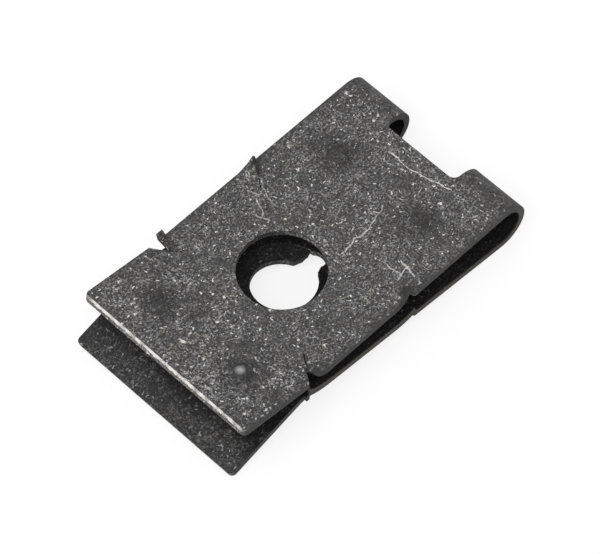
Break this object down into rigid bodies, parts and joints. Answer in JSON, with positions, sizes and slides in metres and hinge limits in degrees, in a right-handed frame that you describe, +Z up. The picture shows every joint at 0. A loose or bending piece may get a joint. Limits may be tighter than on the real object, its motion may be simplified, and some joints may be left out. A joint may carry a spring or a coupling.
{
  "type": "u clip speed nut",
  "caption": "U-shaped spring-steel clip nut: clearance hole in one leg, keyhole thread impression in the other, with barbs and lead-in.",
  "frame": {"origin": "where the screw axis meets the upper face of the upper leg, the leg with the clearance hole", "axes": "+X along the strip towards the fold, +Y across the strip, +Z up along the screw axis"},
  "size_m": [0.0295, 0.016, 0.0055],
  "materials": {
    "phosphated_steel": "matt black phosphate, speckled, with fine bright scratches and bright sheared ends"
  },
  "bodies": {
    "root": {"clip": "phosphated_steel"}
  },
  "joints": []
}
